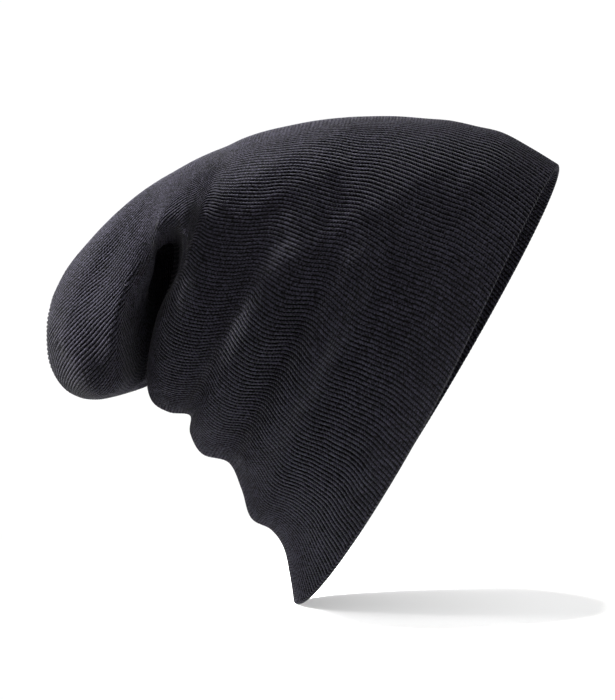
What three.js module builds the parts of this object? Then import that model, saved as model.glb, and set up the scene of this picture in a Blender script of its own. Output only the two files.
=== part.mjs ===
// A long slouch beanie in fine black rib knit, with the shape that it has when worn.
// Millimetres, +Z up. The origin is the middle of the mouth, +X runs from the nape to the forehead,
// and -Y is the near side. The bag climbs back from the mouth, is pinched over at its neck, and its
// crown end hangs down behind, turned so that the crown closes on the far side.
import * as THREE from "three";

// The fabric: two layers of fine knit lying together.
const wall = 2.4;
const rimRound = 0.9; // how far the folded edge swells past the wall's ends
const pointsAround = 54;
const stepsPerSection = 2;
const angles = Array.from({ length: pointsAround }, (_, j) => (j / pointsAround) * 2 * Math.PI);

// The bag's sections, from the rim to the crown. Each is a loop from its front point over the near
// side to its back point, and back over the far side. middleY shifts the loop sideways, tilt turns
// its width out of the Y axis (degrees), fold raises or sinks its lower sides into a ridge or a
// dent, skew moves its widest place towards the back, and full below 1 squares its sides. Beside
// the pinch the near side falls away in a flank: by the share flank, from the cosine flankAt down.
const sectionColumns = [
  "frontX", "frontZ", "backX", "backZ", "middleY", "nearHalf", "farHalf", "tilt", "fold", "skew", "full",
  "flank", "flankAt", "farTilt",
];
const sectionRows = [
  [59.5, 99.5, -59.5, -100, 0, 56, 58, 0, 0, 0, 1, 0, 0, 0],
  [48, 106.5, -61, -89.5, 0, 60, 61, 0, -0.5, 0, 1, 0, 0, 0],
  [35, 113.5, -64, -75.5, 0, 63, 64, 0, 1.5, 0, 1, 0, 0, 0],
  [23, 116.5, -70, -66.5, 0, 65, 66, 0, 1, 0, 0.98, 0, 0, 0],
  [11.5, 119, -79, -61, 0, 67, 68, 0, -2, 0, 0.95, 0, 0, 0],
  [0, 120, -83, -48, 0, 69, 69, 0, 2, 0, 0.92, 0, 0, 0],
  [-13, 121, -88.5, -35.5, 0, 70, 70, 0, -2, 0, 0.9, 0, 0, 0],
  [-25, 121, -99.5, -31.5, 0, 70, 71, 0, 1.5, 0, 0.88, 0, 0, 0],
  [-36.5, 120.5, -104, -22, 0, 69, 69, 0, 2, 0, 0.85, 0, 0, 0],
  [-50, 119, -104, -13.5, 1, 68.5, 67, 0, -2, 0, 0.82, 0, 0, 0],
  [-63, 116.5, -113, -12, 2, 67.5, 65, 0, 0, 0, 0.78, 0, 0, 0],
  [-73.5, 114, -120.5, -6.5, 4, 66, 62, 0, 0.5, 0, 0.76, 0, 0, 0],
  [-82.5, 111, -122, 7, 4, 63, 59, 0, 0, 0.05, 0.74, 0, 0, 0],
  [-90, 107.5, -115, 26.5, 3, 59, 56, 0, 0, 0.1, 0.74, 0, 0, 0],
  [-97.5, 104.5, -110, 45.5, 1, 55, 53, 0, 0, 0.18, 0.76, 0, 0, 0],
  [-105, 101, -111, 61, 0, 52, 50, 0, 0, 0.22, 0.84, 0.03, 0.1, 0],
  [-114, 96, -118.5, 57, -2, 50, 47, 0, 0, 0.22, 0.9, 0.12, 0.2, 0],
  [-122.5, 91, -119.5, 38, -3, 50, 44, 0, 0, 0.22, 0.95, 0.3, 0.2, 0],
  [-131.5, 84.5, -123, 15, -4, 50, 41, 2, 0, 0.22, 0.98, 0.3, 0.1, 3],
  [-140.5, 76, -128.5, 0, -2, 48, 38, 8, 0, 0.25, 0.98, 0.1, -0.2, 12],
  [-149, 66, -137, -5, 3, 42, 35, 19, 0, 0.22, 0.98, 0, 0, 26],
  [-156.5, 55.5, -144.5, -7.5, 11, 34, 30, 36, 0, 0.15, 1, 0, 0, 43],
  [-159.5, 45, -149.5, -6, 22, 24, 23, 50, 0, 0.05, 1, 0, 0, 60],
  [-159, 35.5, -151.5, 0, 32, 15, 16, 70, 0, 0, 1, 0, 0, 75],
  [-156.5, 27.5, -153, 8, 39, 8, 9, 83, 0, 0, 1, 0, 0, 84],
  [-154.5, 22, -153.5, 15, 42, 3, 3, 90, 0, 0, 1, 0, 0, 90],
];
const lastSection = sectionRows.length - 1;

// The rim isn't flat: its near edge sways out at the nape and in at the forehead, and its far edge
// bows out. Both fade over the first sections.
const rimWave = { nearBow: 3.1, frontSway: 7.8, backSway: 5, farBow: 13.5, farPower: 1, fadeSections: 6 };

// The two walls of the pinch's crease sway together, which closes the slot between them to the eye.
// Towards the far side they sway more, by the share farMore. On the near side, from lipFrom to
// lipTo out from the middle, they stand apart high up, above lipBelow, and leave a hole.
const crease = {
  x: -118, reach: 26, sway: 4, farMore: 0.5, turnY: 16, fadeTop: 85, fullBelow: 60,
  lipBelow: 32, lipAbove: 60, lipFrom: 12, lipTo: 42,
};

// How the folds swell: only on the lower sides, from this share of the chord on.
const foldReach = { from: 0.15, to: 1, gain: 1.3 };

// The skewed sections keep their girth with the evening share. The far side is plainer: it has
// this share of the near side's skew and squareness.
const skewEvening = 0.35;
const innerFlankLead = 0.07; // the inner skin's flank starts sooner, a wall inside the outer one
const farPlain = 0.4;

// The crown's closing.
const crownDimple = 1.6;
const gather = { radius: 4.4, height: 2.3, lobes: 8, lobeDepth: 0.12, sides: 32, gap: 0.35 };

const knitMaterial = new THREE.MeshStandardMaterial({ color: 0x1e1e23, roughness: 0.95, metalness: 0 });
const gatherMaterial = new THREE.MeshStandardMaterial({ color: 0x18181c, roughness: 0.95, metalness: 0 });

function smoothStep(from, to, value) {
  const x = Math.min(Math.max((value - from) / (to - from), 0), 1);
  return x * x * (3 - 2 * x);
}

// Any section between two rows, on a smooth curve through each column.
function sectionAt(place) {
  const along = Math.min(Math.max(place, 0), lastSection);
  const index = Math.min(Math.floor(along), lastSection - 1);
  const f = along - index;
  const section = {};
  sectionColumns.forEach((name, column) => {
    const b = sectionRows[index][column];
    const c = sectionRows[index + 1][column];
    const a = index > 0 ? sectionRows[index - 1][column] : 2 * b - c;
    const d = index + 2 <= lastSection ? sectionRows[index + 2][column] : 2 * c - b;
    const square = 2 * a - 5 * b + 4 * c - d;
    const cube = 3 * b - 3 * c + d - a;
    section[name] = 0.5 * (2 * b + (c - a) * f + square * f * f + cube * f * f * f);
  });
  return section;
}

function rimLead(angle, place) {
  const sine = Math.sin(angle);
  const cosine = Math.cos(angle);
  const sway = rimWave.backSway + (rimWave.frontSway - rimWave.backSway) * smoothStep(-0.5, 0.5, cosine);
  const near = rimWave.nearBow * sine * sine - sway * sine * cosine;
  const far = rimWave.farBow * Math.abs(sine) ** rimWave.farPower;
  return smoothStep(rimWave.fadeSections, 0, place) * (sine > 0 ? near : far);
}

function creaseSway(x, y, z) {
  const across = (x - crease.x) / crease.reach;
  const turn = Math.min(Math.max(y / crease.turnY, -Math.PI / 2), Math.PI / 2);
  const low = smoothStep(crease.fadeTop, crease.fullBelow, z);
  const lip = smoothStep(crease.lipBelow, crease.lipAbove, z) * smoothStep(crease.lipFrom, crease.lipTo, -y);
  const sway = crease.sway * (1 + crease.farMore * smoothStep(0, 20, y)) * low * (1 - lip);
  return sway * Math.sin(turn) * Math.exp(-across * across);
}

// A point of the skin on a section. The angle runs from 0 at the front point over the near side.
function surfacePoint(angle, place, section = sectionAt(place)) {
  const s = section;
  const cosine = Math.cos(angle);
  const sine = Math.sin(angle);
  const halfX = (s.frontX - s.backX) / 2;
  const halfZ = (s.frontZ - s.backZ) / 2;
  const chord = Math.hypot(halfX, halfZ);
  const lower = smoothStep(foldReach.from, foldReach.to, 0.5 - 0.5 * cosine) * Math.abs(sine);
  const half = (sine > 0 ? s.nearHalf : s.farHalf) + s.fold * foldReach.gain * lower;
  const plain = sine > 0 ? 1 : farPlain;
  const skew = s.skew * plain;
  const profile = Math.sign(sine) * Math.abs(sine) ** (1 - plain * (1 - s.full));
  const evened = (1 - skew * cosine) / (1 + skewEvening * skew * skew);
  const flank = s.flank * plain * smoothStep(s.flankAt + 0.2, s.flankAt - 0.7, cosine);
  const out = half * profile * evened * (1 - flank);
  const nearShare = smoothStep(-0.6, 0.6, sine);
  const tilt = THREE.MathUtils.degToRad(s.farTilt + (s.tilt - s.farTilt) * nearShare);
  const lead = rimLead(angle, place) - Math.sin(tilt) * out;
  const x = (s.frontX + s.backX) / 2 + cosine * halfX + (halfZ / chord) * lead;
  const y = s.middleY - Math.cos(tilt) * out;
  const z = (s.frontZ + s.backZ) / 2 + cosine * halfZ - (halfX / chord) * lead;
  return new THREE.Vector3(x + creaseSway(x, y, z), y, z);
}

function outwardNormal(angle, place) {
  const step = 0.02;
  const along = surfacePoint(angle, Math.min(place + step, lastSection))
    .sub(surfacePoint(angle, Math.max(place - step, 0)));
  const around = surfacePoint(angle + step, place).sub(surfacePoint(angle - step, place));
  return along.cross(around).normalize();
}

function ringMiddle(ring) {
  const middle = new THREE.Vector3();
  ring.forEach((point) => middle.add(point));
  return middle.divideScalar(ring.length);
}

// The section of the inner skin: its front, back, near and far points lie one wall inside.
function insetSectionAt(place) {
  const section = sectionAt(place);
  const inset = (angle) => outwardNormal(angle, place).multiplyScalar(-wall);
  const [front, near, back, far] = [0, 0.5, 1, 1.5].map((turns) => inset(turns * Math.PI));
  const rise = new THREE.Vector3(section.frontX - section.backX, 0, section.frontZ - section.backZ);
  const across = new THREE.Vector3(rise.z, 0, -rise.x).normalize();
  const nearward = (degrees) => {
    const tilt = THREE.MathUtils.degToRad(degrees);
    return across.clone().multiplyScalar(-Math.sin(tilt)).add(new THREE.Vector3(0, -Math.cos(tilt), 0));
  };
  section.frontX += front.x;
  section.frontZ += front.z;
  section.backX += back.x;
  section.backZ += back.z;
  section.middleY += (front.y + back.y) / 2;
  section.nearHalf += near.dot(nearward(section.tilt));
  section.farHalf -= far.dot(nearward(section.farTilt));
  section.flankAt += innerFlankLead;
  return section;
}

// The bag: an outer skin, an inner skin on the inset sections, a rounded rim between them, and both
// skins drawn to a point at the crown.
function knitShell() {
  const outer = [];
  const inner = [];
  for (let k = 0; k <= lastSection * stepsPerSection; k++) {
    const place = k / stepsPerSection;
    const skin = angles.map((angle) => surfacePoint(angle, place));
    const inset = insetSectionAt(place);
    outer.push(skin);
    inner.push(angles.map((angle) => surfacePoint(angle, place, inset)));
  }
  const edge = outer[0].map((point, j) => {
    const inward = outer[1][j].clone().sub(point).normalize();
    return point.clone().add(inner[0][j]).multiplyScalar(0.5).addScaledVector(inward, -rimRound);
  });
  const crownAxis = ringMiddle(outer.at(-1)).sub(ringMiddle(outer.at(-3))).normalize();
  const outerTip = ringMiddle(outer.at(-1)).addScaledVector(crownAxis, -crownDimple);
  const innerTip = ringMiddle(inner.at(-1)).addScaledVector(crownAxis, -crownDimple);

  const rings = [...outer.toReversed(), edge, ...inner];
  const positions = rings.flat().flatMap((point) => point.toArray());
  positions.push(...outerTip.toArray(), ...innerTip.toArray());
  const outerTipIndex = rings.length * pointsAround;
  const faces = [];
  for (let k = 0; k + 1 < rings.length; k++) {
    for (let j = 0; j < pointsAround; j++) {
      const next = (j + 1) % pointsAround;
      const a = k * pointsAround + j;
      const b = k * pointsAround + next;
      const c = (k + 1) * pointsAround + j;
      const d = (k + 1) * pointsAround + next;
      faces.push(a, b, c, b, d, c);
    }
  }
  const lastRing = (rings.length - 1) * pointsAround;
  for (let j = 0; j < pointsAround; j++) {
    const next = (j + 1) % pointsAround;
    faces.push(j, outerTipIndex, next);
    faces.push(lastRing + j, lastRing + next, outerTipIndex + 1);
  }
  const geometry = new THREE.BufferGeometry();
  geometry.setAttribute("position", new THREE.Float32BufferAttribute(positions, 3));
  geometry.setIndex(faces);
  geometry.computeVertexNormals();
  const mesh = new THREE.Mesh(geometry, knitMaterial);
  mesh.name = "knit_shell";
  return mesh;
}

// The drawn-up stitches that close the crown: a small puckered button on the closed end.
function crownGather() {
  const { radius, height, sides, lobes, lobeDepth, gap } = gather;
  const profile = [
    [0, 0],
    [0.7 * radius, 0],
    [radius, 0.35 * height],
    [0.86 * radius, 0.8 * height],
    [0.5 * radius, height],
    [0, 0.8 * height],
  ].map(([r, y]) => new THREE.Vector2(r, y));
  const geometry = new THREE.LatheGeometry(profile, sides);
  const spots = geometry.attributes.position;
  for (let i = 0; i < spots.count; i++) {
    const x = spots.getX(i);
    const z = spots.getZ(i);
    const pucker = 1 - lobeDepth * (0.5 - 0.5 * Math.cos(lobes * Math.atan2(z, x)));
    spots.setXYZ(i, x * pucker, spots.getY(i), z * pucker);
  }
  geometry.computeVertexNormals();
  const mesh = new THREE.Mesh(geometry, gatherMaterial);
  mesh.name = "crown_gather";
  const end = sectionAt(lastSection);
  mesh.position.set((end.frontX + end.backX) / 2, end.middleY + gap, (end.frontZ + end.backZ) / 2);
  return mesh;
}

const beanie = new THREE.Group();
beanie.name = "slouch_beanie";
beanie.add(knitShell(), crownGather());

export default beanie;
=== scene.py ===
import math

import bpy
import numpy as np
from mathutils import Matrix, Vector


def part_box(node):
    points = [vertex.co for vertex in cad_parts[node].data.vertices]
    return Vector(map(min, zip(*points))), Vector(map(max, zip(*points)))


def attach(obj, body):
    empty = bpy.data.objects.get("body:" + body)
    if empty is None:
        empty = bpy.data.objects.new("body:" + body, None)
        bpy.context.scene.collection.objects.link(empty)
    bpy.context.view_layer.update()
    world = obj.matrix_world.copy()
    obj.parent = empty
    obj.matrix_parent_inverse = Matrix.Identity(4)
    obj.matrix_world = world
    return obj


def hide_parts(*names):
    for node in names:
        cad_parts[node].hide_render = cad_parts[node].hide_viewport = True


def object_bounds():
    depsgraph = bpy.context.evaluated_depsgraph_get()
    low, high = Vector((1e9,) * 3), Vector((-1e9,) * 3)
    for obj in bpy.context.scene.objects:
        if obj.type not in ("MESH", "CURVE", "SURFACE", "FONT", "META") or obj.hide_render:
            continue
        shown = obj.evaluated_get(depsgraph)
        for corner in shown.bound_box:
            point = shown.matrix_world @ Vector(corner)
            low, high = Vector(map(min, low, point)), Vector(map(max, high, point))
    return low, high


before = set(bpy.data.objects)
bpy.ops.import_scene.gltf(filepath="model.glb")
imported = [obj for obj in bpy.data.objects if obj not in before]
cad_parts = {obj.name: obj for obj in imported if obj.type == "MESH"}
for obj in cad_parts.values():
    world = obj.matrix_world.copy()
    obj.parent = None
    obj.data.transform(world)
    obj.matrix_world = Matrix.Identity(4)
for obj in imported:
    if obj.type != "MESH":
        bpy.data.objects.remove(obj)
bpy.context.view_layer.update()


def smoothStep(low, high, value):
    x = np.clip((value - low) / (high - low), 0, 1)
    return x * x * (3 - 2 * x)


# The bag's sections from rim to crown: loops from a front point over the near side to a back
# point, and back over the far side. The solid's are leaner on the near side about the neck.
sectionColumns = [
    "frontX", "frontZ", "backX", "backZ", "middleY", "nearHalf", "farHalf", "tilt", "fold", "skew",
    "full", "flank", "flankAt", "farTilt",
]
sectionRows = [
    [59.5, 99.5, -59.5, -100, 0, 56, 58, 0, 0, 0, 1, 0, 0, 0],
    [48, 106.5, -61, -89.5, 0, 60, 61, 0, -0.5, 0, 1, 0, 0, 0],
    [35, 113.5, -64, -75.5, 0, 63, 64, 0, 1.5, 0, 1, 0, 0, 0],
    [23, 116.5, -70, -66.5, 0, 65, 66, 0, 1, 0, 0.98, 0, 0, 0],
    [11.5, 119, -79, -61, 0, 67, 68, 0, -2, 0, 0.95, 0, 0, 0],
    [0, 120, -83, -48, 0, 69, 69, 0, 2, 0, 0.92, 0, 0, 0],
    [-13, 121, -88.5, -35.5, 0, 70, 70, 0, -2, 0, 0.9, 0, 0, 0],
    [-25, 121, -99.5, -31.5, 0, 70, 71, 0, 1.5, 0, 0.88, 0, 0, 0],
    [-36.5, 120.5, -104, -22, 0, 69.5, 69, 0, 2, 0, 0.8, 0, 0, 0],
    [-50, 119, -104, -13.5, 1, 70, 67, 0, -2, 0, 0.76, 0, 0, 0],
    [-63, 116.5, -113, -12, 2, 70, 65, 0, 0, 0, 0.72, 0, 0, 0],
    [-73.5, 114, -120.5, -6.5, 4, 70.5, 62, 0, 0.5, 0, 0.7, 0, 0, 0],
    [-82.5, 111, -122, 7, 4, 69.5, 59, 0, 0, 0.05, 0.7, 0, 0, 0],
    [-90, 107.5, -118, 28, 3, 67, 56, 0, 0, 0.1, 0.72, 0, 0, 0],
    [-97.5, 104.5, -111.5, 48, 1, 64.5, 53, 0, 0, 0.16, 0.74, 0, 0, 0],
    [-105, 101, -111, 64.5, 0, 62.5, 50, 0, 0, 0.2, 0.78, 0, 0, 0],
    [-114, 96, -121, 60, -2, 60.5, 47, 0, 0, 0.24, 0.78, 0.15, -0.5, 0],
    [-122.5, 91, -122, 38, -3, 60, 44, 0, 0, 0.28, 0.76, 0.6, -0.3, 0],
    [-131.5, 84.5, -124, 15, -4, 60, 41, 2, 0, 0.32, 0.72, 0.6, -0.08, 3],
    [-140.5, 76, -128.5, 0, -2, 58, 38, 5, 0, 0.4, 0.68, 0.3, -0.35, 12],
    [-149, 66, -137, -4.5, 3, 51, 35, 14, 0, 0.36, 0.72, 0, 0, 26],
    [-156, 55.5, -144.5, -5.5, 11, 36.5, 30, 33, 0, 0.26, 0.8, 0, 0, 43],
    [-158.5, 45, -149.5, -4, 22, 24.5, 23, 48, 0, 0.1, 0.92, 0, 0, 60],
    [-158.5, 35.5, -151.5, 1, 32, 15, 16, 68, 0, 0, 1, 0, 0, 75],
    [-156.5, 27.5, -153, 8, 39, 8, 9, 83, 0, 0, 1, 0, 0, 84],
    [-154.5, 22, -153.5, 15, 42, 3, 3, 90, 0, 0, 1, 0, 0, 90],
]
sectionTable = np.array(sectionRows, float)
lastSection = len(sectionRows) - 1

# The whole bag: its wall, how the rim waves, how the back's folds and the crease's two walls run,
# and how much plainer the far side is.
bagForm = {
    "wall": 2.4,
    "nearBow": 3.1,
    "frontSway": 7.8,
    "backSway": 5,
    "swayBlend": 0.5,
    "farBow": 13.5,
    "rimFade": 6,
    "foldedSections": 15,
    "foldsFullFrom": 2,
    "foldsFullTo": 9,
    "foldsGoneBy": 12,
    "foldFrom": 0.15,
    "foldTo": 1,
    "foldGain": 1.3,
    "foldPower": 2.2,
    "skewEvening": 0.35,
    "flankLead": 0.3,
    "flankTrail": 0.75,
    "innerFlankLead": 0.07,
    "tiltBlend": 0.6,
    "farPlain": 0.4,
    "creaseX": -118,
    "creaseReach": 26,
    "creaseSway": 4,
    "creaseFarMore": 1.3,
    "creaseFarFull": 20,
    "creaseTurnY": 16,
    "creaseTop": 85,
    "creaseBelow": 60,
    "lipBelow": 32,
    "lipAbove": 60,
    "lipFrom": 12,
    "lipTo": 42,
    "crownDimple": 1.6,
}


# Any section between two rows, on a smooth curve through each column.
def sectionAt(place):
    along = min(max(place, 0), lastSection)
    index = min(int(along), lastSection - 1)
    t = along - index
    b, c = sectionTable[index], sectionTable[index + 1]
    a = sectionTable[index - 1] if index > 0 else 2 * b - c
    d = sectionTable[index + 2] if index + 2 <= lastSection else 2 * c - b
    values = 0.5 * (
        2 * b + (c - a) * t + (2 * a - 5 * b + 4 * c - d) * t**2 + (3 * b - 3 * c + d - a) * t**3
    )
    return dict(zip(sectionColumns, values))


# The back line's own smooth course, without its folds.
def smoothCourse(column):
    folded = bagForm["foldedSections"]
    values = sectionTable[:folded, sectionColumns.index(column)]
    return np.polynomial.Polynomial.fit(np.arange(folded), values, 3)


smoothX = smoothCourse("backX")
smoothZ = smoothCourse("backZ")


# How far the back line stands from that course.
def foldWave(place):
    s = sectionAt(place)
    grown = smoothStep(0, bagForm["foldsFullFrom"], place)
    ends = grown * smoothStep(bagForm["foldsGoneBy"], bagForm["foldsFullTo"], place)
    return (s["backX"] - smoothX(place)) * ends, (s["backZ"] - smoothZ(place)) * ends


# Points of a section at some angles: 0 at the front line, pi at the back line, the near side
# between them and the far side at negative angles. Without a section it is the outer skin's.
def skinPoint(angle, place, section=None):
    s = section or sectionAt(place)
    form = bagForm
    cosine, sine = np.cos(angle), np.sin(angle)
    near = sine > 0
    halfX = (s["frontX"] - s["backX"]) / 2
    halfZ = (s["frontZ"] - s["backZ"]) / 2
    chord = math.hypot(halfX, halfZ)

    # How far the section stands out to its near or far side.
    lower = smoothStep(form["foldFrom"], form["foldTo"], 0.5 - 0.5 * cosine) * np.abs(sine)
    half = np.where(near, s["nearHalf"], s["farHalf"]) + s["fold"] * form["foldGain"] * lower
    plain = np.where(near, 1, form["farPlain"])
    skew = s["skew"] * plain
    profile = np.sign(sine) * np.abs(sine) ** (1 - plain * (1 - s["full"]))
    out = half * profile * (1 - skew * cosine) / (1 + form["skewEvening"] * skew * skew)
    flankFrom, flankTo = s["flankAt"] + form["flankLead"], s["flankAt"] - form["flankTrail"]
    out = out * (1 - s["flank"] * plain * smoothStep(flankFrom, flankTo, cosine))

    # How far it leads along the bag: the rim's waves, and the crown's turn to the far side.
    blend = smoothStep(-form["tiltBlend"], form["tiltBlend"], sine)
    tilt = np.radians(s["farTilt"] + (s["tilt"] - s["farTilt"]) * blend)
    blend = smoothStep(-form["swayBlend"], form["swayBlend"], cosine)
    rimSway = form["backSway"] + (form["frontSway"] - form["backSway"]) * blend
    nearLead = form["nearBow"] * sine * sine - rimSway * sine * cosine
    farLead = form["farBow"] * np.abs(sine)
    lead = smoothStep(form["rimFade"], 0, place) * np.where(near, nearLead, farLead)
    lead = lead - np.sin(tilt) * out

    # The back's folds die away towards the front.
    wave = foldWave(place)
    share = 0.5 - 0.5 * cosine
    pull = share - share ** form["foldPower"]
    x = (s["frontX"] + s["backX"]) / 2 + cosine * halfX + (halfZ / chord) * lead - pull * wave[0]
    y = s["middleY"] - np.cos(tilt) * out
    z = (s["frontZ"] + s["backZ"]) / 2 + cosine * halfZ - (halfX / chord) * lead - pull * wave[1]

    # Both walls of the crease sway together, so that no light comes through it.
    across = (x - form["creaseX"]) / form["creaseReach"]
    turn = np.clip(y / form["creaseTurnY"], -math.pi / 2, math.pi / 2)
    low = smoothStep(form["creaseTop"], form["creaseBelow"], z)
    lip = smoothStep(form["lipBelow"], form["lipAbove"], z)
    lip = lip * smoothStep(form["lipFrom"], form["lipTo"], -y)
    farMore = 1 + form["creaseFarMore"] * smoothStep(0, form["creaseFarFull"], y)
    creaseSway = form["creaseSway"] * np.sin(turn) * farMore
    x = x + creaseSway * np.exp(-across * across) * low * (1 - lip)
    return np.stack([x, y, z], -1)


def outwardNormal(angle, place):
    step = 0.02
    ahead = skinPoint(angle, min(place + step, lastSection))
    along = ahead - skinPoint(angle, max(place - step, 0))
    around = skinPoint(angle + step, place) - skinPoint(angle - step, place)
    normal = np.cross(along, around)
    return normal / np.maximum(np.linalg.norm(normal, axis=-1, keepdims=True), 1e-9)


# The section of the inner skin: its front, back, near and far points lie one wall inside.
def insetSectionAt(place):
    section = sectionAt(place)
    turns = np.array([0, 0.5, 1, 1.5]) * math.pi
    front, near, back, far = -bagForm["wall"] * outwardNormal(turns, place)
    rise = np.array([section["frontX"] - section["backX"], 0, section["frontZ"] - section["backZ"]])
    across = np.array([rise[2], 0, -rise[0]]) / np.linalg.norm(rise)
    nearTilt, farTilt = math.radians(section["tilt"]), math.radians(section["farTilt"])
    nearward = -math.sin(nearTilt) * across + np.array([0, -math.cos(nearTilt), 0])
    farward = -math.sin(farTilt) * across + np.array([0, -math.cos(farTilt), 0])
    section["frontX"] += front[0]
    section["frontZ"] += front[2]
    section["backX"] += back[0]
    section["backZ"] += back[2]
    section["middleY"] += (front[1] + back[1]) / 2
    section["nearHalf"] += near @ nearward
    section["farHalf"] -= far @ farward
    section["flankAt"] += bagForm["innerFlankLead"]
    return section


# The ribs. Past the neck each keeps at least its least pitch (mm, by section), and those that
# find no room run out at the back line. From the dart start on they run out at the crown's darts.
# Their depth is a share of their pitch.
ribs = {
    "perHalf": 130,
    "pitch": 2.05,
    "measuredAt": 500,
    "leastPlace": [10, 13, 15, 18, 21, 25],
    "leastPitch": [1.3, 1.45, 1.7, 2.05, 2.1, 1.7],
    "runOutFrom": 5,
    "runOutTo": 12,
    "runOutSharpness": 16.0,
    "crowding": 0.12,
    "crowdedFrom": 3,
    "crowdedTo": 14,
    "dartStart": 21.3,
    "depth": 0.4,
    "sharpness": 0.45,
    "stitchHeight": 1.35,
}


# Half a section's line from front to back, folds left out: its angles and the length reached.
def halfLine(place, side, section):
    section = {**section, "fold": 0}
    share = np.linspace(0, 1, ribs["measuredAt"])
    angles = side * math.pi * (0.5 - 0.5 * np.cos(math.pi * share))
    line = skinPoint(angles, place, section)
    steps = np.linalg.norm(np.diff(line, axis=0), axis=1)
    return angles, np.concatenate([[0], np.cumsum(steps)])


# Ribs on half a section: all of them up to the neck, and from there on as many as find room.
def ribCount(place, length):
    every = ribs["perHalf"]
    least = np.interp(place, ribs["leastPlace"], ribs["leastPitch"])
    power = -ribs["runOutSharpness"]
    fitting = (every**power + (length / least) ** power) ** (1 / power)
    return every + (fitting - every) * smoothStep(ribs["runOutFrom"], ribs["runOutTo"], place)


# Where each rib column runs on half a section, and the column that it has run out into.
def ribColumns(place, side, section, perRib):
    angles, reached = halfLine(place, side, section)
    length = reached[-1]
    count = ribs["perHalf"] * perRib
    number = np.arange(count + 1) / perRib
    runsInto = np.arange(count + 1)
    start = ribs["dartStart"]
    if place <= start:
        grown = smoothStep(0, ribs["crowdedFrom"], place)
        crowd = ribs["crowding"] * grown * smoothStep(start, ribs["crowdedTo"], place)
        share = reached / length
        total = ribCount(place, length)
        spots = np.interp(number, total * (share + crowd * (share * share - share)), angles)
        runsInto[number > total] = count
        return spots, runsInto, length / total

    # Past the dart start: four groups of ribs, each held at its outer end and lost into a dart.
    startLength = halfLine(start, side, sectionAt(start))[1][-1]
    total = ribCount(start, startLength)
    pitch = max(length / total, np.interp(place, ribs["leastPlace"], ribs["leastPitch"]))
    quarter = np.minimum((4 * number / total).astype(int), 3)
    anchor = np.array([0, 0.5, 0.5, 1])[quarter]
    dart = np.array([0.25, 0.25, 0.75, 0.75])[quarter]
    before = np.array([True, False, True, False])[quarter]
    lengths = anchor * length + (number - anchor * total) * pitch
    gone = np.where(before, lengths > dart * length, lengths < dart * length)
    dartColumn = np.round(dart * total * perRib).astype(int)
    used = np.unique(dartColumn[gone])
    runsInto[gone] = dartColumn[gone]
    runsInto[used] = used
    lengths[gone] = (dart * length)[gone]
    lengths[used] = (dart * length)[used]
    lengths[number > total] = length
    runsInto[number > total] = count
    return np.interp(lengths, reached, angles), runsInto, pitch


# Height of each rib column over its skin, from -0.5 in a groove to 0.5 on a rib.
def ribSwell(number):
    return np.abs(np.sin(math.pi * number)) ** ribs["sharpness"] - 0.5


# Rows at even steps along the bag, measured on a few lines round it.
def evenPlaces(rows):
    fineRows, lines = 401, 8
    fine = np.linspace(0, lastSection, fineRows)
    angles = np.arange(lines) / lines * 2 * math.pi
    line = np.array([skinPoint(angles, place) for place in fine])
    steps = np.linalg.norm(np.diff(line, axis=0), axis=2).mean(axis=1)
    reached = np.concatenate([[0], np.cumsum(steps)])
    return np.interp(np.linspace(0, reached[-1], rows), reached, fine), reached[-1]


# Folds drawn on the near side: points (x, z) along each, how far it stands out at its start and
# end, its reach to the left and right of the line, and how far ribs slide along it (mm).
nearFolds = {
    "shoulder": {
        "line": [(-56, 107), (-66, 103), (-80, 96), (-95, 90), (-109, 83.5), (-120.5, 75),
                 (-127.5, 66), (-131, 57), (-132, 46), (-132.5, 34), (-133, 20), (-136, 7),
                 (-142, -3)],
        "rise": (1.2, 5.5), "left": 15, "right": 6,
    },
    "neckPlateau": {
        "line": [(-50, 101), (-62, 98), (-75, 93), (-88, 86.5), (-98, 81), (-108, 76)],
        "rise": (3.5, 4.5), "left": 10, "right": 12,
    },
    "neckFill": {
        "line": [(-91, 100), (-96, 88), (-98, 75)],
        "rise": (3, 2.5), "left": 8, "right": 8,
    },
    "highFold": {
        "line": [(-67, 60), (-78, 39), (-90, 20), (-98, 4), (-104, -9)],
        "rise": (1.4, 8.5), "left": 5, "right": 11, "slide": (1.6, 2.6),
    },
    "middleFold": {
        "line": [(-33, 60), (-44, 38), (-59, 12), (-69, -6), (-81, -29)],
        "rise": (1, 7.5), "left": 5, "right": 9, "slide": (0.3, 1.8),
    },
    "lowFold": {
        "line": [(5, 20), (-12, -8), (-32, -40), (-46, -62)],
        "rise": (1.2, 3), "left": 6, "right": 10, "slide": (0.2, 1),
    },
    "creaseLip": {
        "line": [(-107, 70), (-104, 57), (-106, 43), (-111, 31), (-115, 18)],
        "rise": (1.2, 0.6), "left": 5, "right": 7,
    },
    "crownBulge": {
        "line": [(-142, 70), (-148, 59), (-153, 49), (-158, 37), (-161, 24)],
        "rise": (6.5, 3.5), "left": 8, "right": 11,
    },
    "crownFoot": {
        "line": [(-154, 10), (-146, 1), (-136, 1)],
        "rise": (5, 6), "left": 7, "right": 15,
    },
    "crownDent": {
        "line": [(-130, 77), (-139, 63), (-147, 52), (-154, 40)],
        "rise": (-2, -2.5), "left": 5, "right": 7,
    },
}


# How squarely the skin faces the near side where folds are in full, the share of a fold over which
# its slide grows and fades, and the slide's width and turn in shares of the fold's reach.
foldFade = {"facing": 0.4, "endShare": 0.25, "slideWidth": 1.6, "slideTurn": 0.6}


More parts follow.
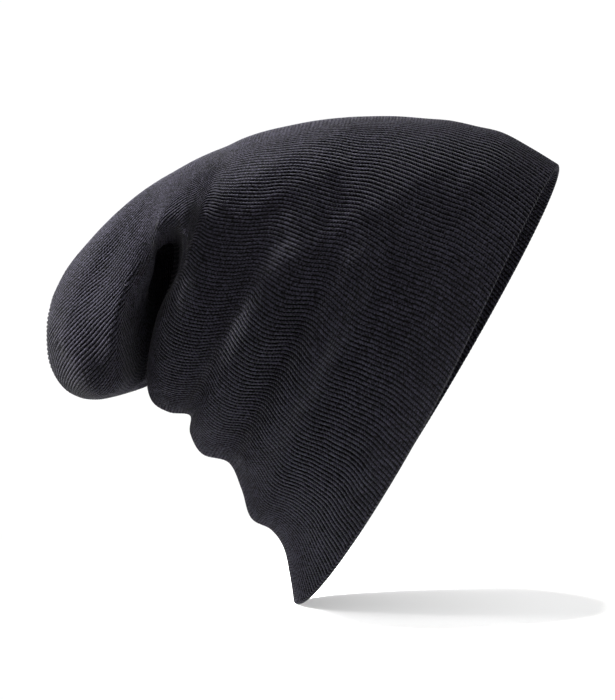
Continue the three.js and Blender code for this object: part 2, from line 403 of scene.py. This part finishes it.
# Each point's distance to a fold's line, its signed distance (left is positive), the line's
# direction there, the length reached along it, and its whole length.
def foldPlace(spots, line):
    nearest = np.full(len(spots), 1e9)
    offset = np.zeros(len(spots))
    course = np.zeros((len(spots), 3))
    reached = np.zeros(len(spots))
    length = 0
    for start, end in zip(line[:-1], line[1:]):
        run = end - start
        share = np.clip((spots - start) @ run / (run @ run), 0, 1)
        gap = spots - start - share[:, None] * run
        distance = np.linalg.norm(gap, axis=1)
        closer = distance < nearest
        side = np.sign(gap[:, 0] * run[1] - gap[:, 1] * run[0])
        nearest[closer] = distance[closer]
        offset[closer] = (side * distance)[closer]
        course[closer] = np.array([run[0], 0, run[1]]) / np.linalg.norm(run)
        reached[closer] = (length + share * np.linalg.norm(run))[closer]
        length += np.linalg.norm(run)
    return nearest, offset, course, reached, length


# How the near side's folds move points of the bag: out towards the near side (-y), and along the
# folds, up on their left and down on their right, which bends the ribs that cross them.
def foldShift(points, normals):
    facing = smoothStep(0, foldFade["facing"], -normals[:, 1])
    total = np.zeros_like(points)
    for fold in nearFolds.values():
        line = np.array(fold["line"], float)
        nearest, offset, course, reached, length = foldPlace(points[:, [0, 2]], line)
        reach = np.where(offset > 0, fold["left"], fold["right"])
        startRise, endRise = fold["rise"]
        rise = startRise + (endRise - startRise) * reached / length
        total[:, 1] -= rise * np.exp(-((nearest / reach) ** 2))

        startSlide, endSlide = fold.get("slide", (0, 0))
        grown = smoothStep(0, foldFade["endShare"] * length, reached)
        faded = smoothStep(length, (1 - foldFade["endShare"]) * length, reached)
        slide = (startSlide + (endSlide - startSlide) * reached / length) * grown * faded
        slide *= np.exp(-((nearest / (foldFade["slideWidth"] * reach)) ** 2))
        slide *= np.tanh(-offset / (foldFade["slideTurn"] * reach))
        flat = course - normals * np.sum(course * normals, axis=1, keepdims=True)
        total += slide[:, None] * flat
    return total * facing[:, None]


# The slack fabric's small waves: height, length along and round the bag (mm), and turn. They are
# in full between two sections, and gone by a third.
slackForm = {
    "fullFrom": 2,
    "fullTo": 20,
    "goneBy": 24,
    "waves": [
        {"height": 0.2, "along": 31, "around": 47, "turn": 0.4},
        {"height": 0.15, "along": 19, "around": -26, "turn": 2.1},
        {"height": 0.15, "along": 11, "around": 17, "turn": 4.0},
    ],
}


def slackness(alongMm, aroundMm):
    return sum(
        wave["height"]
        * np.sin(2 * math.pi * (alongMm / wave["along"] + aroundMm / wave["around"]) + wave["turn"])
        for wave in slackForm["waves"]
    )


# One skin as a grid of rows and rib columns, with its ribs standing out of it.
def ribbedSkin(cut, inner):
    perRib = cut["columns"]
    half = ribs["perHalf"] * perRib
    columns = np.arange(2 * half)
    number = columns / perRib
    places, length = evenPlaces(cut["rows"])
    spots, runs = [], []
    for row, place in enumerate(places):
        section = insetSectionAt(place) if inner else sectionAt(place)
        near, nearRuns, nearPitch = ribColumns(place, 1, section, perRib)
        far, farRuns, farPitch = ribColumns(place, -1, section, perRib)
        farRuns = np.where(farRuns == half, half, 2 * half - farRuns)
        angle = np.concatenate([near, far[-2:0:-1]])
        runsInto = np.concatenate([nearRuns, farRuns[-2:0:-1]])
        swell = ribSwell(number)
        swell[runsInto != columns] = -0.5
        pitch = np.where(columns <= half, nearPitch, farPitch)
        base = skinPoint(angle, place, section)
        normal = outwardNormal(angle, place)
        slack = slackness(length * row / (cut["rows"] - 1), number * ribs["pitch"])
        grown = smoothStep(0, slackForm["fullFrom"], place)
        faded = smoothStep(slackForm["goneBy"], slackForm["fullTo"], place)
        ends = grown * faded * np.sin(angle) ** 2
        sign = -1 if inner else 1
        ridge = sign * ribs["depth"] * pitch * swell + slack * ends
        spots.append(base + normal * ridge[:, None] + foldShift(base, normal))
        runs.append(runsInto)
    return {"points": np.array(spots), "runs": np.array(runs), "length": length, "perRib": perRib}


# Triangles of a skin's grid, outward side first, with the run-out columns drawn together.
def skinFaces(skin, inner):
    rows, ring = skin["runs"].shape
    ids = np.arange(rows)[:, None] * ring + skin["runs"]
    a, b = ids[:-1], np.roll(ids, -1, axis=1)[:-1]
    d, c = ids[1:], np.roll(ids, -1, axis=1)[1:]
    faces = np.stack([np.stack([a, d, c], -1), np.stack([a, c, b], -1)], 2)
    column = np.broadcast_to(np.arange(ring)[None, :, None], faces.shape[:3])
    if inner:
        faces = faces[..., ::-1]
    flat = faces.reshape(-1, 3)
    keep = (flat[:, 0] != flat[:, 1]) & (flat[:, 1] != flat[:, 2]) & (flat[:, 2] != flat[:, 0])
    return flat[keep], column.reshape(-1)[keep]


# Rib number and stitch at each face's corners. A corner that has run out keeps its face's rib.
def faceUvs(skin, faces, column):
    rows, ring = skin["runs"].shape
    across = faces % ring
    base = column[:, None]
    gap = across - base
    runOut = np.where(gap > ring / 2, across - ring, base + np.sign(gap))
    across = np.where(np.abs(gap) > 1, runOut, across)
    across = np.where((base == ring - 1) & (faces % ring == 0), ring, across)
    stitch = faces // ring * skin["length"] / (rows - 1) / ribs["stitchHeight"]
    return np.stack([across / skin["perRib"], stitch], -1)


def pointNormals(points, faces):
    corners = points[faces]
    normal = np.cross(corners[:, 1] - corners[:, 0], corners[:, 2] - corners[:, 0])
    total = np.zeros_like(points)
    for k in range(3):
        for axis in range(3):
            total[:, axis] += np.bincount(faces[:, k], normal[:, axis], len(points))
    return total / np.maximum(np.linalg.norm(total, axis=1, keepdims=True), 1e-12)


# A smooth mesh piece in metres, from the points that its faces use.
def makePiece(name, points, faces, normals, uvs, material):
    used, local = np.unique(faces, return_inverse=True)
    local = local.reshape(-1, 3)
    mesh = bpy.data.meshes.new(name)
    mesh.vertices.add(len(used))
    mesh.vertices.foreach_set("co", (points[used] * 0.001).ravel())
    mesh.loops.add(local.size)
    mesh.loops.foreach_set("vertex_index", local.ravel().astype(np.int32))
    mesh.polygons.add(len(local))
    mesh.polygons.foreach_set("loop_start", np.arange(0, local.size, 3, dtype=np.int32))
    mesh.update(calc_edges=True)
    layer = mesh.uv_layers.new(name="ribs")
    layer.data.foreach_set("uv", uvs.reshape(-1, 2).ravel())
    mesh.polygons.foreach_set("use_smooth", np.ones(len(local), bool))
    mesh.normals_split_custom_set_from_vertices(normals[used])
    mesh.materials.append(material)
    piece = bpy.data.objects.new(name, mesh)
    bpy.context.scene.collection.objects.link(piece)
    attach(piece, "root")
    print(name, "has", len(faces), "triangles")
    return piece


# A material while its nodes are made.
class lookMaker:
    def __init__(self, name):
        self.material = bpy.data.materials.new(name)
        self.material.use_nodes = True
        self.nodes = self.material.node_tree.nodes
        self.links = self.material.node_tree.links
        self.shader = self.nodes["Principled BSDF"]

    def add(self, kind, **settings):
        node = self.nodes.new(kind)
        for key, value in settings.items():
            setattr(node, key, value)
        return node

    def link(self, source, target):
        self.links.new(source, target)

    def math(self, operation, first, second=None):
        node = self.add("ShaderNodeMath", operation=operation)
        for socket, value in zip(node.inputs, [first, second]):
            if value is None:
                continue
            if isinstance(value, (int, float)):
                socket.default_value = value
            else:
                self.link(value, socket)
        return node.outputs[0]

    def noise(self, where, scale, detail):
        node = self.add("ShaderNodeTexNoise")
        node.inputs["Scale"].default_value = scale
        node.inputs["Detail"].default_value = detail
        self.link(where, node.inputs["Vector"])
        return node.outputs["Fac"]

    def spread(self, value, source, target, kind="LINEAR"):
        node = self.add("ShaderNodeMapRange", interpolation_type=kind)
        titles = ["From Min", "From Max", "To Min", "To Max"]
        for title, number in zip(titles, [*source, *target]):
            node.inputs[title].default_value = number
        self.link(value, node.inputs["Value"])
        return node.outputs["Result"]

    def tint(self, colour, strength):
        node = self.add("ShaderNodeMix", data_type="RGBA", blend_type="MULTIPLY")
        node.inputs["Factor"].default_value = 1
        self.link(colour, node.inputs["A"])
        self.link(strength, node.inputs["B"])
        return node.outputs["Result"]

    def bump(self, height, distance):
        node = self.add("ShaderNodeBump")
        node.inputs["Distance"].default_value = distance
        self.link(height, node.inputs["Height"])
        return node


# The knit: its colour, the painted shade in its grooves, where that painted shade gives way to a
# rib's crest, the knit's specks, the dye's patches, and its bumps in metres.
knitLook = {
    "colour": (0.0129, 0.012, 0.0177, 1),
    "paintedGrooveShade": (0.0002, 0.0002, 0.0004, 1),
    "crestRange": (0.2, 0.6),
    "crestWave": 0.12,
    "grooveNoise": 1.1,
    "roughness": 0.9,
    "gloss": 0.05,
    "sheen": 0.068,
    "sheenRoughness": 0.45,
    "stitchSlant": 1.1,
    "stitchBump": 0.0003,
    "fuzzScale": 2600,
    "fuzzDetail": 2,
    "fuzzBump": 0.00006,
    "speckScale": 1100,
    "speckDetail": 2,
    "grain": 0.75,
    "grainRange": (0.35, 0.65),
    "patchScale": 90,
    "patchDetail": 3,
    "patchTint": 0.15,
    "patchRange": (0.3, 0.7),
}


# Rib knit: V stitches up each rib, painted shade in the grooves, soft fuzz and a faint sheen.
def knitMaterial(name, look):
    knit = lookMaker(name)
    uv = knit.add("ShaderNodeUVMap", uv_map="ribs")
    split = knit.add("ShaderNodeSeparateXYZ")
    knit.link(uv.outputs[0], split.inputs[0])
    within = knit.math("FRACT", split.outputs[0])
    side = knit.math("ABSOLUTE", knit.math("SUBTRACT", within, 0.5))
    slant = knit.math("ADD", split.outputs[1], knit.math("MULTIPLY", side, look["stitchSlant"]))
    wave = knit.math("SINE", knit.math("MULTIPLY", slant, 2 * math.pi))
    crest = knit.math("SUBTRACT", 1, knit.math("MULTIPLY", side, 2))
    lifted = knit.math("ADD", knit.math("MULTIPLY", wave, 0.5), 0.5)
    stitch = knit.math("MULTIPLY", lifted, crest)

    where = knit.add("ShaderNodeTexCoord").outputs["Object"]
    fuzz = knit.noise(where, look["fuzzScale"], look["fuzzDetail"])
    patches = knit.noise(where, look["patchScale"], look["patchDetail"])
    specks = knit.noise(where, look["speckScale"], look["speckDetail"])

    uneven = knit.math("MULTIPLY", knit.math("SUBTRACT", specks, 0.5), look["grooveNoise"])
    wavy = knit.math("ADD", crest, knit.math("MULTIPLY", wave, look["crestWave"]))
    height = knit.math("ADD", wavy, uneven)
    # Painted shade in the grooves: the colour falls to near black where the height is low.
    onCrest = knit.spread(height, look["crestRange"], (0, 1), "SMOOTHSTEP")
    yarnAndGrooveShade = knit.add("ShaderNodeMix", data_type="RGBA")
    yarnAndGrooveShade.inputs["A"].default_value = look["paintedGrooveShade"]
    yarnAndGrooveShade.inputs["B"].default_value = look["colour"]
    knit.link(onCrest, yarnAndGrooveShade.inputs["Factor"])
    patchTints = (1 - look["patchTint"], 1 + look["patchTint"])
    grainTints = (1 - look["grain"], 1 + look["grain"])
    patchy = knit.spread(patches, look["patchRange"], patchTints)
    grain = knit.spread(specks, look["grainRange"], grainTints)
    colour = knit.tint(knit.tint(yarnAndGrooveShade.outputs["Result"], patchy), grain)
    knit.link(colour, knit.shader.inputs["Base Color"])

    stitches = knit.bump(stitch, look["stitchBump"])
    fuzzy = knit.bump(fuzz, look["fuzzBump"])
    knit.link(stitches.outputs["Normal"], fuzzy.inputs["Normal"])
    knit.link(fuzzy.outputs["Normal"], knit.shader.inputs["Normal"])
    knit.shader.inputs["Roughness"].default_value = look["roughness"]
    knit.shader.inputs["Specular IOR Level"].default_value = look["gloss"]
    knit.shader.inputs["Sheen Weight"].default_value = look["sheen"]
    knit.shader.inputs["Sheen Roughness"].default_value = look["sheenRoughness"]
    return knit.material


# How each skin is cut: columns to a rib, rows from rim to crown, and pieces round the bag.
outerSkin = {"columns": 6, "rows": 210, "panels": 4}
innerSkin = {"columns": 3, "rows": 110, "panels": 2}


# The middle of a row's ribs that haven't run out.
def rowMiddle(skin, row):
    standing = skin["runs"][row] == np.arange(skin["runs"].shape[1])
    return skin["points"][row][standing].mean(0)


# A skin in a few pieces round the bag, closed at the crown by a fan of faces to a small dimple.
def makeSkin(title, cut, inner, material):
    skin = ribbedSkin(cut, inner)
    faces, column = skinFaces(skin, inner)
    rows, ring = skin["runs"].shape
    axis = rowMiddle(skin, -1) - rowMiddle(skin, -3)
    axis /= np.linalg.norm(axis)
    tip = rowMiddle(skin, -1) - axis * bagForm["crownDimple"]
    points = np.vstack([skin["points"].reshape(-1, 3), tip])
    loop = (rows - 1) * ring + skin["runs"][-1]
    nextLoop = np.roll(loop, -1)
    cap = np.stack([loop, np.full(ring, rows * ring), nextLoop], -1)[loop != nextLoop]
    if inner:
        cap = cap[:, ::-1]
    normals = pointNormals(points, np.vstack([faces, cap]))
    uvs = faceUvs(skin, faces, column)
    pieces = []
    edges = np.linspace(0, ring, cut["panels"] + 1).astype(int)
    for k in range(cut["panels"]):
        part = (column >= edges[k]) & (column < edges[k + 1])
        partFaces, partUvs = faces[part], uvs[part]
        if k == cut["panels"] - 1:
            partFaces = np.vstack([partFaces, cap])
            partUvs = np.concatenate([partUvs, np.zeros((len(cap), 3, 2))])
        piece = makePiece(f"{title}_{k + 1}", points, partFaces, normals, partUvs, material)
        pieces.append(piece)
    return skin, pieces


ribKnit = knitMaterial("rib_knit_look", knitLook)
outer, outerPieces = makeSkin("knit_outer", outerSkin, False, ribKnit)
print("outer skin made")
makeSkin("knit_inner", innerSkin, True, ribKnit)
print("inner skin made")

# The folded edge at the mouth: rows round it, how far it rounds out, how much more at each rib,
# and the length of knit in it (mm).
rimEdge = {"rows": 9, "round": 1.0, "ribMore": 0.25, "length": 5.0}


# Rows round from the inner skin's first row to the outer skin's.
def makeRim(material):
    perRib = outerSkin["columns"]
    ring = 2 * ribs["perHalf"] * perRib
    outerRow, outerNext = outer["points"][:2]
    section = insetSectionAt(0)
    near = ribColumns(0, 1, section, perRib)[0]
    far = ribColumns(0, -1, section, perRib)[0]
    angle = np.concatenate([near, far[-2:0:-1]])
    swell = ribSwell(np.arange(ring) / perRib)
    pitch = halfLine(0, 1, section)[1][-1] / ribs["perHalf"]
    depth = (ribs["depth"] * pitch * swell)[:, None]
    innerRow = skinPoint(angle, 0, section) - outwardNormal(angle, 0) * depth
    away = outerRow - outerNext
    away /= np.linalg.norm(away, axis=1, keepdims=True)
    middle = (outerRow + innerRow) / 2
    rows = []
    for turn in np.linspace(0, math.pi, rimEdge["rows"])[::-1]:
        swing = rimEdge["round"] * math.sin(turn) * (1 + rimEdge["ribMore"] * swell)
        rows.append(middle + (outerRow - middle) * math.cos(turn) + away * swing[:, None])
    skin = {
        "runs": np.broadcast_to(np.arange(ring), (len(rows), ring)),
        "length": rimEdge["length"],
        "perRib": perRib,
    }
    points = np.array(rows).reshape(-1, 3)
    faces, column = skinFaces(skin, False)
    normals = pointNormals(points, faces)
    piece = makePiece("knit_rim", points, faces, normals, faceUvs(skin, faces, column), material)


makeRim(ribKnit)
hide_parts("knit_shell")
print("rim made")

# The crown's closing: how finely it is cut, how round, its puckers and its dimple (mm).
crownGather = {
    "rings": 14,
    "sides": 96,
    "ringsPerStitch": 3,
    "roundness": 0.7,
    "puckers": 8,
    "puckerDepth": 0.14,
    "dimple": 0.9,
    "dimpleRadius": 1.2,
    "colour": (0.008, 0.008, 0.0095, 1),
}


# A puckered button of drawn-up stitches, in the solid's box.
def makeGather(material):
    form = crownGather
    low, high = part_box("crown_gather")
    middle = (low + high) / 2 * 1000
    size = (high - low) * 1000
    rings, sides = form["rings"], form["sides"]
    points = []
    for share in np.arange(rings + 1) / rings:
        swell = math.sin(math.pi * share)
        radius = size[0] / 2 * swell ** form["roundness"]
        dimple = form["dimple"] * math.exp(-((radius / form["dimpleRadius"]) ** 2)) * share
        height = size[1] * (0.5 - 0.5 * math.cos(math.pi * share)) - dimple
        for turn in 2 * math.pi * np.arange(sides) / sides:
            crimp = 0.5 - 0.5 * math.cos(form["puckers"] * turn)
            out = radius * (1 - form["puckerDepth"] * crimp * swell)
            x, z = middle[0] + out * math.cos(turn), middle[2] + out * math.sin(turn)
            points.append([x, low[1] * 1000 + height, z])
    points = np.array(points)
    ids = np.arange(len(points)).reshape(rings + 1, sides)
    a, b = ids[:-1], np.roll(ids, -1, axis=1)[:-1]
    d, c = ids[1:], np.roll(ids, -1, axis=1)[1:]
    upper, lower = np.stack([a, c, b], -1), np.stack([a, d, c], -1)
    faces = np.concatenate([upper.reshape(-1, 3), lower.reshape(-1, 3)])
    stitch = faces // sides / form["ringsPerStitch"]
    uvs = np.stack([(faces % sides) / sides * form["puckers"], stitch], -1)
    normals = pointNormals(points, faces)
    piece = makePiece("crown_gather_look", points, faces, normals, uvs, material)
    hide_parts("crown_gather")


makeGather(knitMaterial("gather_look", {**knitLook, "colour": crownGather["colour"]}))
print("crown gather made")

# Soft white surroundings, and lamps: places and sizes in metres, cones and the suns' sizes in
# degrees. The suns throw the floor's shadow, and "under" softens it.
studio = {
    "floorColour": (0.97, 0.97, 0.97, 1),
    "floorRoughness": 0.9,
    "floorReach": 30,
    "skyStrength": 0.7,
    "horizonStrength": 1.03,
    "horizonHeight": (0.03, 0.06),
    "spotBlend": 0.3,
    "spots": {
        "key": {
            "spot": (-1.36, 0.12, 1.14), "aim": (-0.06, 0, 0.03),
            "power": 650, "size": 0.12, "cone": 12,
        },
        "side": {
            "spot": (-1.52, 0.3, 0.2), "aim": (-0.12, 0, 0.055),
            "power": 260, "size": 0.1, "cone": 3.8,
        },
        "top": {
            "spot": (-0.15, 0.12, 1.7), "aim": (0.045, 0, 0.1),
            "power": 1500, "size": 0.2, "cone": 3,
        },
        "under": {
            "spot": (1.0, 0.3, 1.2), "aim": (0, 0, -0.1),
            "power": 44, "size": 0.1, "cone": 11,
        },
    },
    "suns": {
        "wideBack": {"spot": (-1.5, 0.3, 1.25), "aim": (0, 0, 0), "power": 0.9, "size": 14},
        "wideFront": {"spot": (-1.5, -0.3, 1.25), "aim": (0, 0, 0), "power": 0.9, "size": 14},
    },
    "panels": {"fill": {"spot": (1.3, -0.7, 1.0), "aim": (0, 0, 0), "power": 1.2, "size": 0.8}},
}


def makeFloor():
    mesh = bpy.data.meshes.new("floor")
    reach, z = studio["floorReach"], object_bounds()[0].z
    corners = [(-reach, -reach, z), (reach, -reach, z), (reach, reach, z), (-reach, reach, z)]
    mesh.from_pydata(corners, [], [(0, 1, 2, 3)])
    floor = bpy.data.objects.new("floor", mesh)
    bpy.context.scene.collection.objects.link(floor)
    white = lookMaker("floor_look")
    white.shader.inputs["Base Color"].default_value = studio["floorColour"]
    white.shader.inputs["Roughness"].default_value = studio["floorRoughness"]
    white.shader.inputs["Specular IOR Level"].default_value = 0
    mesh.materials.append(white.material)


# A bright strip along the horizon ends the white floor; the sky above is a little dimmer.
def makeSky():
    world = bpy.data.worlds.new("studio")
    world.use_nodes = True
    nodes, links = world.node_tree.nodes, world.node_tree.links
    sky = nodes["Background"]
    sky.inputs["Color"].default_value = (1, 1, 1, 1)
    direction = nodes.new("ShaderNodeTexCoord")
    split = nodes.new("ShaderNodeSeparateXYZ")
    strength = nodes.new("ShaderNodeMapRange")
    low, high = studio["horizonHeight"]
    strength.inputs["From Min"].default_value = low
    strength.inputs["From Max"].default_value = high
    strength.inputs["To Min"].default_value = studio["horizonStrength"]
    strength.inputs["To Max"].default_value = studio["skyStrength"]
    links.new(direction.outputs["Generated"], split.inputs[0])
    links.new(split.outputs["Z"], strength.inputs["Value"])
    links.new(strength.outputs["Result"], sky.inputs["Strength"])
    bpy.context.scene.world = world


def makeLamp(title, kind, values):
    lamp = bpy.data.lights.new(title, kind)
    lamp.energy = values["power"]
    holder = bpy.data.objects.new(title, lamp)
    holder.location = Vector(values["spot"])
    aim = Vector(values["aim"]) - holder.location
    holder.rotation_euler = aim.to_track_quat("-Z", "Y").to_euler()
    bpy.context.scene.collection.objects.link(holder)
    return lamp


def makeLamps():
    for title, values in studio["spots"].items():
        lamp = makeLamp(title, "SPOT", values)
        lamp.shadow_soft_size = values["size"]
        lamp.spot_size = math.radians(values["cone"])
        lamp.spot_blend = studio["spotBlend"]
    for title, values in studio["suns"].items():
        makeLamp(title, "SUN", values).angle = math.radians(values["size"])
    for title, values in studio["panels"].items():
        makeLamp(title, "AREA", values).size = values["size"]


makeFloor()
makeSky()
makeLamps()
bpy.context.scene.view_settings.view_transform = "Standard"
print("studio made")

# The photograph's view: degrees above level, and metres. The frame height is measured at the aim.
view = {
    "elevation": 5,
    "distance": 1.6,
    "aim": (-0.0535, 0, 0.0152),
    "frameHeight": 0.3185,
    "sensor": 36,
    "seesTo": 100,
}


def makeCamera():
    data = bpy.data.cameras.new("camera")
    camera = bpy.data.objects.new("camera", data)
    bpy.context.scene.collection.objects.link(camera)
    lift = math.radians(view["elevation"])
    back = Vector((0, -math.cos(lift), math.sin(lift)))
    camera.location = Vector(view["aim"]) + back * view["distance"]
    camera.rotation_euler = (-back).to_track_quat("-Z", "Y").to_euler()
    data.sensor_width = view["sensor"]
    data.lens = view["sensor"] * view["distance"] / view["frameHeight"]
    data.clip_end = view["seesTo"]
    bpy.context.scene.camera = camera


makeCamera()
print("camera made")
